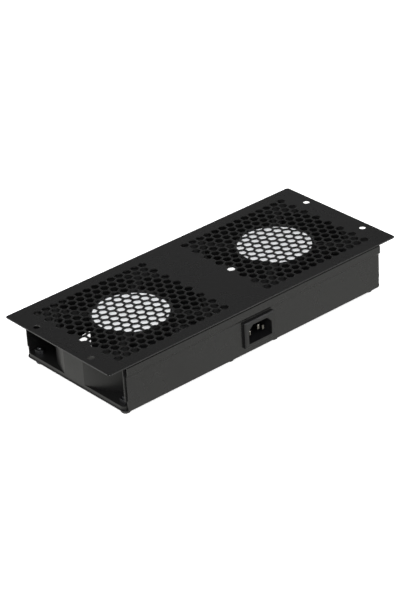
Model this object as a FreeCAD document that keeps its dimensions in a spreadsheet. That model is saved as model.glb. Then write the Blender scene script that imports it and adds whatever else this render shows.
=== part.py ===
import FreeCAD, Part
import math
import os
import Sketcher

# Rack fan tray. A perforated cover plate lies on a shallow sheet-metal tray that holds two axial
# mains fans. They draw air up through openings in the tray floor and blow it out through the
# cover. A mains inlet sits in the middle of the front wall, between the fans.
#
# Axes: +X along the plate, -Y to the inlet side, +Z up. The origin is the centre of the four
# fixing holes, in the underside of the cover plate. Lengths are in millimetres.

# Each driving size is written once, here: a word, its value and what it measures.
DIMENSIONS = [
    ("cover_sheet", 1.0, "cover sheet thickness"),
    ("plate_length", 300.0, "cover plate along X"),
    ("plate_width", 128.5, "cover plate along Y"),
    ("plate_corner", 2.5, "corner radius of the cover plate"),
    ("fixing_inset_x", 7.3, "fixing holes in from each end of the plate"),
    ("fixing_inset_y", 30.85, "fixing holes in from each long edge of the plate"),
    ("fixing_hole", 5.4, "fixing hole diameter"),
    ("hex_pitch", 8.18, "perforation, centre to centre in a row"),
    ("hex_web", 1.7, "metal left between two neighbouring holes"),
    ("hex_rows", 15, "rows of holes over each fan"),
    ("hex_columns", 14, "holes in the longer rows"),
    ("flange_depth", 31.0, "inner flange of the cover, below the plate"),
    ("flange_inset", 15.8, "inner flange of the cover in from each end of the plate"),
    ("notch_side", 3.6, "cover flange clear of the inlet body at each side"),
    ("notch_rise", 2.4, "cover flange clear of the inlet body above it"),
    ("tray_sheet", 1.2, "tray sheet thickness"),
    ("floor_inset", 14.2, "tray floor in from each end of the plate"),
    ("floor_rim", 1.5, "tray floor past the rim of each air passage"),
    ("tray_corner", 5.0, "corner radius of the tray floor"),
    ("tray_bend", 0.5, "bevel under the tray floor's edge"),
    ("wall_inset", 17.5, "tray walls in from each end of the plate"),
    ("plate_lip", 0.35, "cover plate past the tray's upper strip"),
    ("lip_height", 6.4, "upper strip of the wall"),
    ("joggle_height", 2.5, "slanted step below the strip"),
    ("joggle_offset", 2.1, "how far the strip stands out from the wall"),
    ("lip_gap", 0.9, "clearance between the strip and the cover plate"),
    ("fan_inset", 14.8, "fans in from each end of the plate"),
    ("bay_width", 32.4, "wiring room between the two fans"),
    ("fan_depth", 38.0, "fan frame along its axis"),
    ("fan_corner", 4.0, "corner radius of the fan frame"),
    ("fan_flange", 3.2, "flange thickness of the fan frame"),
    ("fan_rim", 2.5, "fan frame between its side and the air passage"),
    ("barrel_swell", 2.4, "barrel wider than the frame before its flats"),
    ("fan_flare", 2.0, "chamfer at the intake mouth of the air passage"),
    ("fan_hole_inset", 7.0, "fan fixing holes in from the sides of the frame"),
    ("fan_hole", 4.3, "fan fixing hole diameter"),
    ("fan_fit", 0.1, "clearance between a fan's side and the cover flange"),
    ("fan_top_gap", 0.8, "clearance between a fan and the cover plate"),
    ("cup_diameter", 66.0, "motor cup"),
    ("cup_wall", 2.0, "motor cup wall"),
    ("cup_drop", 0.1, "motor cup below the top of the frame"),
    ("cup_height", 10.0, "motor cup along the axis"),
    ("strut_count", 4, "struts that carry the motor cup"),
    ("strut_angle", 45.0, "first strut from the X axis, seen from above"),
    ("strut_width", 7.6, "strut width"),
    ("strut_height", 7.4, "strut height"),
    ("tube_diameter", 12.0, "bearing tube outside"),
    ("tube_length", 28.0, "bearing tube below the top of the cup"),
    ("bush_diameter", 9.0, "bearing bush outside"),
    ("bush_length", 22.0, "bearing bush"),
    ("press_gap", 0.02, "radial gap left in a press fit"),
    ("running_gap", 0.04, "radial clearance of the shaft in its bush"),
    ("shaft_diameter", 4.0, "motor shaft"),
    ("clip_diameter", 7.6, "retaining clip"),
    ("clip_thickness", 0.6, "retaining clip"),
    ("end_float", 0.2, "axial play of the shaft"),
    ("core_diameter", 49.0, "stator core"),
    ("core_height", 10.0, "stator lamination stack"),
    ("core_arm", 7.0, "width of a stator arm"),
    ("shoe_depth", 2.0, "radial depth of a pole shoe"),
    ("shoe_width", 22.0, "width of a pole shoe"),
    ("coil_thickness", 3.0, "winding depth around an arm"),
    ("air_gap", 0.5, "radial gap between stator and rotor"),
    ("hub_diameter", 66.0, "impeller hub outside"),
    ("hub_wall", 2.0, "impeller hub wall"),
    ("hub_base", 3.0, "impeller hub above the tray floor"),
    ("hub_gap", 1.2, "gap between the hub and the motor cup"),
    ("boss_diameter", 10.0, "boss that grips the shaft"),
    ("boss_gap", 0.4, "gap between the boss and the bush"),
    ("blade_count", 5, "impeller blades"),
    ("blade_chord", 32.0, "blade width square to its length, seen along the axis"),
    ("blade_thickness", 1.8, "blade thickness along the axis"),
    ("blade_height", 20.0, "blade along the axis"),
    ("blade_base", 5.0, "lowest edge of the blades above the tray floor"),
    ("blade_camber", 58.0, "radius of the curved blade section"),
    ("tip_gap", 1.5, "radial gap between blade tips and the air passage"),
    ("phase_left", 20.0, "angle of the left impeller at rest"),
    ("phase_right", 42.0, "angle of the right impeller at rest"),
    ("label_diameter", 61.0, "round label on the motor cup"),
    ("label_thickness", 0.2, "label thickness"),
    ("guard_wire", 2.4, "wire of the finger guard"),
    ("guard_inset", 5.5, "outer ring of the finger guard in from the sides of the frame"),
    ("guard_ear", 8.4, "ear of the finger guard"),
    ("screw_diameter", 4.0, "fan screw thread"),
    ("screw_head", 8.0, "fan screw head diameter"),
    ("screw_head_height", 3.1, "fan screw head height"),
    ("screw_spare", 1.2, "thread that shows past the nut"),
    ("nut_flats", 7.0, "nut across its flats"),
    ("nut_height", 3.2, "nut thickness"),
    ("thread_gap", 0.05, "radial gap between a thread and its nut"),
    ("inlet_width", 31.0, "inlet flange along X"),
    ("inlet_height", 22.4, "inlet flange along Z"),
    ("inlet_proud", 3.0, "inlet flange in front of the wall"),
    ("inlet_drop", 22.85, "centre of the inlet below the cover plate"),
    ("inlet_edge", 1.0, "bevel around the front of the inlet flange"),
    ("inlet_body_width", 27.0, "inlet body along X"),
    ("inlet_body_height", 19.6, "inlet body along Z"),
    ("inlet_body_depth", 19.0, "inlet body behind the face of the wall"),
    ("inlet_fit", 0.2, "clearance around the inlet body in its cut-out"),
    ("inlet_ear", 1.2, "snap ear beside the inlet body"),
    ("inlet_ear_gap", 0.1, "gap between a snap ear and the wall"),
    ("socket_width", 24.0, "inlet socket along X"),
    ("socket_height", 16.0, "inlet socket along Z"),
    ("socket_chamfer", 4.5, "cut corners at the top of the socket"),
    ("socket_depth", 17.0, "inlet socket behind the front of its flange"),
    ("pin_pitch", 14.0, "line and neutral pins, centre to centre"),
    ("pin_offset", 4.0, "earth pin above the other two"),
    ("pin_thickness", 2.0, "pin along X"),
    ("pin_height", 4.0, "pin along Z"),
    ("pin_recess", 4.2, "line and neutral tips behind the front of the flange"),
    ("earth_recess", 1.8, "earth tip behind the front of the flange"),
    ("pin_tip", 0.6, "bevel on a pin's tip"),
    ("tab_length", 8.0, "solder tab behind the inlet body"),
    ("tab_thickness", 0.8, "solder tab"),
    ("boot_wall", 1.2, "insulating boot on the back of the inlet"),
    ("boot_depth", 14.0, "boot behind the inlet body"),
    ("boot_grip", 4.0, "boot length that grips the inlet body"),
    ("boot_fit", 0.1, "clearance between boot and inlet body"),
    ("entry_diameter", 3.9, "wire entries in the rear of the boot"),
    ("entry_spread", 6.0, "wire entries to each side of the centre"),
    ("entry_rise", 1.4, "wire entries above the centre of the inlet"),
    ("earth_entry_diameter", 2.7, "earth wire entry in the rear of the boot"),
    ("earth_entry_drop", 6.6, "earth wire entry below the centre of the inlet"),
    ("stud_diameter", 4.0, "earth stud welded to the tray floor"),
    ("stud_height", 8.0, "earth stud above the floor"),
    ("stud_y", 12.0, "earth stud behind the middle of the tray"),
    ("stud_base", 5.6, "welded foot of the earth stud"),
    ("stud_base_height", 0.8, "welded foot of the earth stud"),
]

Z = FreeCAD.Vector(0, 0, 1)

doc = FreeCAD.newDocument("RackFanTray")
sheet = doc.addObject("Spreadsheet::Sheet", "Dim")
sheet.Label = "Dimensions"
for row, (alias, size, note) in enumerate(DIMENSIONS, 1):
    sheet.set(f"A{row}", alias.replace("_", " "))
    sheet.set(f"B{row}", str(size))
    sheet.setAlias(f"B{row}", alias)
    sheet.set(f"C{row}", note)
doc.recompute()

nodes = {}

# Heights and distances that several pieces share, worked out from the sheet.
FLOOR = "(-Dim.fan_top_gap - Dim.fan_depth)"
WALL_OUTER = "(Dim.plate_width / 2 - Dim.plate_lip - Dim.joggle_offset)"
WALL_INNER = f"({WALL_OUTER} - Dim.tray_sheet)"
FLANGE_INNER = f"({WALL_INNER} - Dim.cover_sheet)"
STRIP_TOP = "(Dim.fan_depth + Dim.fan_top_gap - Dim.lip_gap)"
JOGGLE_TOP = f"({STRIP_TOP} - Dim.lip_height)"
JOGGLE_FOOT = f"({JOGGLE_TOP} - Dim.joggle_height)"
# the fans are as large as the width or the length of the plate leaves room for
FAN_ALONG = "(Dim.plate_length / 2 - Dim.fan_inset - Dim.bay_width / 2)"
FAN_ACROSS = f"(2 * {FLANGE_INNER} - 2 * Dim.fan_fit)"
FAN_SIZE = f"min({FAN_ALONG}; {FAN_ACROSS})"
FAN_CENTRE = f"(Dim.plate_length / 2 - Dim.fan_inset - {FAN_SIZE} / 2)"
FAN_BORE = f"({FAN_SIZE} - 2 * Dim.fan_rim)"
FAN_BARREL = f"({FAN_SIZE} + Dim.barrel_swell)"
HOLE_AT = f"({FAN_SIZE} / 2 - Dim.fan_hole_inset)"
GUARD_RING = f"({FAN_SIZE} - 2 * Dim.guard_inset)"
CUP_TOP = "(Dim.fan_depth - Dim.cup_drop)"
CUP_FOOT = f"({CUP_TOP} - Dim.cup_height)"
CUP_INNER = "(Dim.cup_diameter / 2 - Dim.cup_wall)"
TUBE_FOOT = f"({CUP_TOP} - Dim.tube_length)"
BUSH_TOP = f"({TUBE_FOOT} + Dim.bush_length)"
BUSH_SEAT = "(Dim.bush_diameter / 2 + Dim.press_gap)"
STRUT_FOOT = f"({CUP_TOP} - Dim.strut_height)"
HUB_TOP = f"({CUP_FOOT} - Dim.hub_gap)"
BOSS_TOP = f"({TUBE_FOOT} - Dim.boss_gap)"
TIP_RADIUS = f"({FAN_BORE} / 2 - Dim.tip_gap)"
ROTOR_INNER = "(Dim.core_diameter / 2 + Dim.air_gap)"
CORE_FOOT = f"({HUB_TOP} - Dim.core_height - Dim.hub_wall)"
INLET_CENTRE = "(-Dim.inlet_drop)"


def number(expression):
    """The value of an expression that is written with the sheet's words."""
    result = sheet.evalExpression(expression)
    return float(getattr(result, "Value", result))


def bind(feature, **expressions):
    """Ties a feature's properties to the sheet."""
    for name, expression in expressions.items():
        feature.setExpression(name, expression)


def place(feature, x="0", y="0", z="0", turn=0.0):
    """Turns a feature about Z and ties its position to the sheet."""
    where = FreeCAD.Vector(number(x), number(y), number(z))
    feature.Placement = FreeCAD.Placement(where, FreeCAD.Rotation(Z, turn))
    feature.setExpression("Placement.Base.x", x)
    feature.setExpression("Placement.Base.y", y)
    feature.setExpression("Placement.Base.z", z)


def finish(feature, name):
    """Names a finished piece."""
    feature.Label = name
    nodes[name] = feature
    return feature


# Sketches and features of the pieces that are built as bodies.


def new_body(name):
    return doc.addObject("PartDesign::Body", name + "_body")


def origin_plane(body, role):
    return next(f for f in body.Origin.OriginFeatures if f.Role == role)


def new_sketch(body, role, level=None):
    """A sketch on one of the body's own planes, raised along its normal by level."""
    sketch = body.newObject("Sketcher::SketchObject", body.Name + "_sketch")
    sketch.AttachmentSupport = [(origin_plane(body, role), "")]
    sketch.MapMode = "FlatFace"
    if level:
        sketch.AttachmentOffset.Base.z = number(level)
        sketch.setExpression("AttachmentOffset.Base.z", level)
    return sketch


def fix_point(sketch, geometry, point, x, y):
    """Holds a point of the sketch at x and y, both given as expressions."""
    for kind, expression, axis in (("DistanceX", x, -2), ("DistanceY", y, -1)):
        if expression == "0":
            sketch.addConstraint(Sketcher.Constraint("PointOnObject", geometry, point, axis))
            continue
        size = number(expression)
        rule = Sketcher.Constraint(kind, -1, 1, geometry, point, size)
        index = sketch.addConstraint(rule)
        sketch.setExpression(f"Constraints[{index}]", expression)


def draw_outline(sketch, corners):
    """A closed outline of straight lines through corners given as expressions."""
    points = [FreeCAD.Vector(number(x), number(y), 0) for x, y in corners]
    first = sketch.GeometryCount
    count = len(points)
    for i in range(count):
        sketch.addGeometry(Part.LineSegment(points[i], points[(i + 1) % count]))
    for i in range(count):
        following = first + (i + 1) % count
        sketch.addConstraint(Sketcher.Constraint("Coincident", first + i, 2, following, 1))
    for i, (x, y) in enumerate(corners):
        fix_point(sketch, first + i, 1, x, y)


def draw_rectangle(sketch, x, y, width, height):
    """A rectangle centred on x and y."""
    left, right = f"{x} - {width} / 2", f"{x} + {width} / 2"
    low, high = f"{y} - {height} / 2", f"{y} + {height} / 2"
    draw_outline(sketch, [(left, low), (right, low), (right, high), (left, high)])


def draw_circle(sketch, x, y, diameter):
    centre = FreeCAD.Vector(number(x), number(y), 0)
    geometry = sketch.addGeometry(Part.Circle(centre, Z, number(diameter) / 2))
    index = sketch.addConstraint(Sketcher.Constraint("Diameter", geometry, number(diameter)))
    sketch.setExpression(f"Constraints[{index}]", diameter)
    fix_point(sketch, geometry, 3, x, y)


def pad(body, sketch, length, symmetric=False, reverse=False):
    feature = body.newObject("PartDesign::Pad", body.Name + "_pad")
    feature.Profile = sketch
    feature.SideType = "Symmetric" if symmetric else "One side"
    feature.Reversed = reverse
    bind(feature, Length=length)
    return feature


def pocket(body, sketch, length, symmetric=False, reverse=False):
    feature = body.newObject("PartDesign::Pocket", body.Name + "_pocket")
    feature.Profile = sketch
    feature.SideType = "Symmetric" if symmetric else "One side"
    feature.Reversed = reverse
    bind(feature, Length=length)
    return feature


def revolve(body, sketch, cut=False):
    """Turns a sketch in the XZ plane about the body's Z axis, to add or to cut."""
    kind = "PartDesign::Groove" if cut else "PartDesign::Revolution"
    feature = body.newObject(kind, body.Name + "_turned")
    feature.Profile = sketch
    feature.ReferenceAxis = (sketch, ["V_Axis"])
    feature.Angle = 360
    return feature


def soften(body, kind, size, wanted):
    """A fillet or chamfer on the edges of the body that wanted picks."""
    doc.recompute()
    base = body.Tip
    names = [f"Edge{i}" for i, edge in enumerate(base.Shape.Edges, 1) if wanted(edge)]
    feature = body.newObject("PartDesign::" + kind, body.Name + "_" + kind.lower())
    feature.Base = (base, names)
    bind(feature, **{"Radius" if kind == "Fillet" else "Size": size})
    return feature


def mirrored(body, feature, role):
    copy = body.newObject("PartDesign::Mirrored", body.Name + "_mirrored")
    copy.Originals = [feature]
    copy.MirrorPlane = (origin_plane(body, role), [""])
    body.Tip = copy
    return copy


def polar(body, features, count):
    ring = body.newObject("PartDesign::PolarPattern", body.Name + "_polar")
    ring.Originals = features
    axis = next(f for f in body.Origin.OriginFeatures if f.Role == "Z_Axis")
    ring.Axis = (axis, [""])
    ring.Angle = 360
    bind(ring, Occurrences=count)
    body.Tip = ring
    return ring


def upright(edge):
    """True for a straight edge along Z."""
    ends = [v.Point for v in edge.Vertexes]
    return len(ends) == 2 and abs((ends[1] - ends[0]).normalize().z) > 0.999


# Primitives and booleans of the simpler pieces.


def box(x, y, z, length, width, height):
    """A block centred on x and y, standing on z."""
    feature = doc.addObject("Part::Box", "block")
    bind(feature, Length=length, Width=width, Height=height)
    place(feature, f"{x} - {length} / 2", f"{y} - {width} / 2", z)
    return feature


def cylinder(x, y, z, diameter, height):
    """An upright cylinder standing on z."""
    feature = doc.addObject("Part::Cylinder", "round")
    bind(feature, Radius=f"{diameter} / 2", Height=height)
    place(feature, x, y, z)
    return feature


def hexagon(x, y, z, flats, height):
    feature = doc.addObject("Part::Prism", "hexagon")
    feature.Polygon = 6
    bind(feature, Circumradius=f"{flats} / sqrt(3)", Height=height)
    place(feature, x, y, z)
    return feature


def fuse(pieces):
    feature = doc.addObject("Part::MultiFuse", "fused")
    feature.Shapes = pieces
    feature.Refine = True
    return feature


def cut(base, tool):
    feature = doc.addObject("Part::Cut", "cut")
    feature.Base = base
    feature.Tool = tool
    return feature


def common(first, second):
    feature = doc.addObject("Part::Common", "common")
    feature.Base = first
    feature.Tool = second
    return feature


def group(pieces, name):
    """Several like solids that share one node."""
    feature = doc.addObject("Part::Compound", "group")
    feature.Links = pieces
    return finish(feature, name)


# The cover: a perforated plate with an inner flange along each long side. The plate is one face
# with all its holes, extruded in one go.


def hexagon_wire(x, y, flats):
    """A hexagonal hole with a corner towards +Y, so that its flats face the holes beside it."""
    radius = flats / math.sqrt(3)
    angles = [math.radians(90 + 60 * k) for k in range(7)]
    corners = [(x + radius * math.cos(a), y + radius * math.sin(a), 0) for a in angles]
    return Part.makePolygon([FreeCAD.Vector(*c) for c in corners])


def field_centres(middle):
    """Centres of the holes over one fan: odd rows are one hole shorter and sit half a pitch in."""
    rows, columns = int(sheet.hex_rows), int(sheet.hex_columns)
    for row in range(rows):
        holes = columns - row % 2
        y = (row - (rows - 1) / 2) * sheet.hex_pitch * math.sqrt(3) / 2
        for k in range(holes):
            yield middle + (k - (holes - 1) / 2) * sheet.hex_pitch, y


def plate_outline():
    """The rounded outline of the cover plate, as one wire."""
    length, width, corner = sheet.plate_length, sheet.plate_width, sheet.plate_corner
    blank = Part.makeBox(length, width, 1, FreeCAD.Vector(-length / 2, -width / 2, 0))
    rounded = blank.makeFillet(corner, [e for e in blank.Edges if upright(e)])
    floor = min(rounded.Faces, key=lambda f: f.CenterOfMass.z)
    return floor.OuterWire


def make_cover():
    flats = sheet.hex_pitch - sheet.hex_web
    holes = []
    for middle in (-number(FAN_CENTRE), number(FAN_CENTRE)):
        holes += [hexagon_wire(x, y, flats) for x, y in field_centres(middle)]
    fixing_x = sheet.plate_length / 2 - sheet.fixing_inset_x
    fixing_y = sheet.plate_width / 2 - sheet.fixing_inset_y
    for x in (-fixing_x, fixing_x):
        for y in (-fixing_y, fixing_y):
            ring = Part.Circle(FreeCAD.Vector(x, y, 0), Z, sheet.fixing_hole / 2)
            holes.append(Part.Wire(ring.toShape()))
    face = Part.Face(plate_outline())
    face.cutHoles([wire.reversed() for wire in holes])
    plate = face.extrude(Z * sheet.cover_sheet)
    inner, depth = number(FLANGE_INNER), sheet.flange_depth
    length, thick = sheet.plate_length - 2 * sheet.flange_inset, sheet.cover_sheet
    front = Part.makeBox(length, thick, depth, FreeCAD.Vector(-length / 2, -inner - thick, -depth))
    back = Part.makeBox(length, thick, depth, FreeCAD.Vector(-length / 2, inner, -depth))
    # the front flange leaves room for the inlet body and its snap ears
    room = sheet.inlet_body_width + 2 * sheet.notch_side
    sill = number(f"{INLET_CENTRE} + Dim.inlet_body_height / 2 + Dim.notch_rise")
    corner = FreeCAD.Vector(-room / 2, -inner - 2 * thick, -depth)
    notch = Part.makeBox(room, 3 * thick, sill + depth, corner)
    cover = doc.addObject("Part::Feature", "cover")
    cover.Shape = plate.fuse([front.cut(notch), back]).removeSplitter()
    finish(cover, "cover")


# The tray: a floor with two fan openings, and two long walls that step out near the top. The short
# ends are open. Its own zero is the top of the floor, where the fans stand.


def make_tray():
    body = new_body("tray")
    floor = new_sketch(body, "XY_Plane", "-Dim.tray_sheet")
    floor_length = "(Dim.plate_length - 2 * Dim.floor_inset)"
    draw_rectangle(floor, "0", "0", floor_length, f"(2 * {WALL_OUTER})")
    pad(body, floor, "Dim.tray_sheet")
    soften(body, "Fillet", "Dim.tray_corner", upright)
    wall = new_sketch(body, "YZ_Plane")
    step = "Dim.joggle_offset"
    foot = "-Dim.tray_sheet / 2"
    draw_outline(wall, [
        (f"-{WALL_OUTER}", foot),
        (f"-{WALL_INNER}", foot),
        (f"-{WALL_INNER}", JOGGLE_FOOT),
        (f"-{WALL_INNER} - {step}", JOGGLE_TOP),
        (f"-{WALL_INNER} - {step}", STRIP_TOP),
        (f"-{WALL_OUTER} - {step}", STRIP_TOP),
        (f"-{WALL_OUTER} - {step}", JOGGLE_TOP),
        (f"-{WALL_OUTER}", JOGGLE_FOOT),
    ])
    front = pad(body, wall, "Dim.plate_length - 2 * Dim.wall_inset", symmetric=True)
    mirrored(body, front, "XZ_Plane")
    under = -number("Dim.tray_sheet")

    def outer_edge(edge):
        low = all(abs(v.Point.z - under) < 1e-6 for v in edge.Vertexes)
        return low and edge.Length > 1e-3 and len(edge.Vertexes) == 2

    soften(body, "Chamfer", "Dim.tray_bend", outer_edge)
    holes = new_sketch(body, "XY_Plane")
    for x in (f"-{FAN_CENTRE}", FAN_CENTRE):
        draw_circle(holes, x, "0", f"({FAN_BORE} - 2 * Dim.floor_rim)")
        for dx in (f"- {HOLE_AT}", f"+ {HOLE_AT}"):
            for y in (f"-{HOLE_AT}", HOLE_AT):
                draw_circle(holes, f"{x} {dx}", y, "Dim.fan_hole")
    pocket(body, holes, "4 * Dim.tray_sheet", symmetric=True)
    window = new_sketch(body, "XZ_Plane", WALL_INNER)
    centre = f"({INLET_CENTRE} - {FLOOR})"
    width = "(Dim.inlet_body_width + 2 * Dim.inlet_fit)"
    height = "(Dim.inlet_body_height + 2 * Dim.inlet_fit)"
    draw_rectangle(window, "0", centre, width, height)
    pocket(body, window, "4 * Dim.tray_sheet", symmetric=True)
    place(body, z=FLOOR)
    finish(body, "tray")


# One fan. Every piece is drawn about the fan's own axis, with zero on the tray floor.


def make_frame(name, x):
    """The cast frame: two flanges, a barrel with flats, struts and the motor cup."""
    body = new_body(name)
    barrel = new_sketch(body, "XY_Plane")
    draw_barrel(barrel)
    pad(body, barrel, "Dim.fan_depth")
    for level in ("0", "(Dim.fan_depth - Dim.fan_flange)"):
        flange = new_sketch(body, "XY_Plane", level)
        draw_rectangle(flange, "0", "0", FAN_SIZE, FAN_SIZE)
        pad(body, flange, "Dim.fan_flange")
    corner_at = number(f"{FAN_SIZE} / 2")

    def frame_corner(edge):
        if not upright(edge):
            return False
        at = edge.Vertexes[0].Point
        return abs(abs(at.x) - corner_at) < 1e-6 and abs(abs(at.y) - corner_at) < 1e-6

    soften(body, "Fillet", "Dim.fan_corner", frame_corner)
    bore = new_sketch(body, "XY_Plane")
    draw_circle(bore, "0", "0", FAN_BORE)
    for sx in ("-", ""):
        for sy in ("-", ""):
            draw_circle(bore, sx + HOLE_AT, sy + HOLE_AT, "Dim.fan_hole")
    pocket(body, bore, "4 * Dim.fan_depth", symmetric=True)
    bore_length = number(f"{FAN_BORE} * pi")

    def intake_mouth(edge):
        low = edge.BoundBox.ZMax < sheet.fan_flange
        return low and abs(edge.Length - bore_length) < 1e-3

    soften(body, "Chamfer", "Dim.fan_flare", intake_mouth)
    strut = new_sketch(body, "XY_Plane", STRUT_FOOT)
    strut.AttachmentOffset.Rotation = FreeCAD.Rotation(Z, float(sheet.strut_angle))
    bind(strut, **{"AttachmentOffset.Rotation.Angle": "Dim.strut_angle * 1 deg"})
    inner, outer = f"({CUP_INNER} + Dim.cup_wall / 2)", f"({FAN_BORE} / 2 + Dim.fan_flare / 2)"
    half = "Dim.strut_width / 2"
    draw_outline(strut, [(inner, f"-{half}"), (outer, f"-{half}"), (outer, half), (inner, half)])
    bar = pad(body, strut, "Dim.strut_height")
    polar(body, [bar], "Dim.strut_count")
    cup = new_sketch(body, "XZ_Plane")
    roof = f"({CUP_TOP} - Dim.cup_wall)"
    draw_outline(cup, [
        (BUSH_SEAT, CUP_TOP),
        ("Dim.cup_diameter / 2", CUP_TOP),
        ("Dim.cup_diameter / 2", CUP_FOOT),
        (CUP_INNER, CUP_FOOT),
        (CUP_INNER, roof),
        ("Dim.tube_diameter / 2", roof),
        ("Dim.tube_diameter / 2", TUBE_FOOT),
        (BUSH_SEAT, TUBE_FOOT),
    ])
    revolve(body, cup)
    place(body, x, "0", FLOOR)
    finish(body, name)


def draw_barrel(sketch):
    """A circle with a flat on each side, where the barrel meets the square of the frame."""
    radius, flat = number(f"{FAN_BARREL} / 2"), number(f"{FAN_SIZE} / 2")
    half = math.acos(flat / radius)
    first = sketch.GeometryCount
    for quarter in range(4):
        middle = quarter * math.pi / 2
        ends = [FreeCAD.Vector(radius * math.cos(a), radius * math.sin(a), 0)
                for a in (middle - half, middle + half)]
        sketch.addGeometry(Part.LineSegment(*ends))
        circle = Part.Circle(FreeCAD.Vector(0, 0, 0), Z, radius)
        sketch.addGeometry(Part.ArcOfCircle(circle, middle + half, middle + math.pi / 2 - half))
    for quarter in range(4):
        line = first + 2 * quarter
        arc, following = line + 1, first + (2 * quarter + 2) % 8
        sketch.addConstraint(Sketcher.Constraint("Coincident", line, 2, arc, 1))
        sketch.addConstraint(Sketcher.Constraint("Coincident", arc, 2, following, 1))
        sketch.addConstraint(Sketcher.Constraint("Coincident", arc, 3, -1, 1))
    index = sketch.addConstraint(Sketcher.Constraint("Radius", first + 1, radius))
    sketch.setExpression(f"Constraints[{index}]", f"{FAN_BARREL} / 2")
    for quarter in range(1, 4):
        sketch.addConstraint(Sketcher.Constraint("Equal", first + 1, first + 2 * quarter + 1))
    sides = [("DistanceX", f"{FAN_SIZE} / 2"), ("DistanceY", f"{FAN_SIZE} / 2"),
             ("DistanceX", f"-{FAN_SIZE} / 2"), ("DistanceY", f"-{FAN_SIZE} / 2")]
    for quarter, (kind, expression) in enumerate(sides):
        line = first + 2 * quarter
        along = "Vertical" if kind == "DistanceX" else "Horizontal"
        sketch.addConstraint(Sketcher.Constraint(along, line))
        index = sketch.addConstraint(Sketcher.Constraint(kind, -1, 1, line, 1, number(expression)))
        sketch.setExpression(f"Constraints[{index}]", expression)


def draw_blade(sketch):
    """A curved blade section: flat at its low leading edge and steep at its high trailing edge."""
    half = "Dim.blade_chord / 2"
    low, thick = "Dim.blade_base", "Dim.blade_thickness"
    high = f"{low} + Dim.blade_height"
    corners = [(f"-{half}", f"{low} + {thick}"), (half, high),
               (half, f"{high} - {thick}"), (f"-{half}", low)]
    points = [FreeCAD.Vector(number(x), number(y), 0) for x, y in corners]
    chord = points[1] - points[0]
    radius = number("Dim.blade_camber")
    sag = radius - math.sqrt(radius ** 2 - chord.Length ** 2 / 4)
    bow = FreeCAD.Vector(chord.y, -chord.x, 0).normalize() * sag
    upper = Part.Arc(points[0], (points[0] + points[1]) / 2 + bow, points[1])
    lower = Part.Arc(points[3], (points[3] + points[2]) / 2 + bow, points[2])
    sketch.addGeometry(upper)
    sketch.addGeometry(Part.LineSegment(points[1], points[2]))
    sketch.addGeometry(lower)
    sketch.addGeometry(Part.LineSegment(points[3], points[0]))
    for pair in ((0, 2, 1, 1), (1, 2, 2, 2), (2, 1, 3, 1), (3, 2, 0, 1)):
        sketch.addConstraint(Sketcher.Constraint("Coincident", *pair))
    for (geometry, point), (x, y) in zip(((0, 1), (0, 2), (2, 2), (2, 1)), corners):
        fix_point(sketch, geometry, point, x, y)
    for arc in (0, 2):
        index = sketch.addConstraint(Sketcher.Constraint("Radius", arc, radius))
        sketch.setExpression(f"Constraints[{index}]", "Dim.blade_camber")


def make_impeller(name, x, phase):
    """A hub with curved blades: their height rises anticlockwise seen from above."""
    body = new_body(name)
    outer = "Dim.hub_diameter / 2"
    inner = f"({outer} - Dim.hub_wall)"
    near = f"sqrt({inner}^2 - (Dim.blade_chord / 2)^2)"
    section = new_sketch(body, "YZ_Plane", near)
    draw_blade(section)
    blade = pad(body, section, f"{TIP_RADIUS} + Dim.blade_thickness - {near}")
    polar(body, [blade], "Dim.blade_count")
    # a cylinder trims the tips, and the blades end inside the hub's wall
    trim = new_sketch(body, "XZ_Plane")
    root, past = f"({outer} - Dim.hub_wall / 2)", f"({TIP_RADIUS} + Dim.blade_chord)"
    draw_outline(trim, [("0", "0"), (root, "0"), (root, "Dim.fan_depth"), ("0", "Dim.fan_depth")])
    draw_outline(trim, [(TIP_RADIUS, "0"), (past, "0"), (past, "Dim.fan_depth"),
                        (TIP_RADIUS, "Dim.fan_depth")])
    revolve(body, trim, cut=True)
    hub = new_sketch(body, "XZ_Plane")
    face = "(Dim.hub_base + Dim.hub_wall)"
    grip = "(Dim.shaft_diameter / 2 + Dim.press_gap)"
    boss = "Dim.boss_diameter / 2"
    draw_outline(hub, [
        (grip, "Dim.hub_base"),
        (outer, "Dim.hub_base"),
        (outer, HUB_TOP),
        (inner, HUB_TOP),
        (inner, face),
        (boss, face),
        (boss, BOSS_TOP),
        (grip, BOSS_TOP),
    ])
    revolve(body, hub)
    place(body, x, "0", FLOOR, phase)
    finish(body, name)


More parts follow.
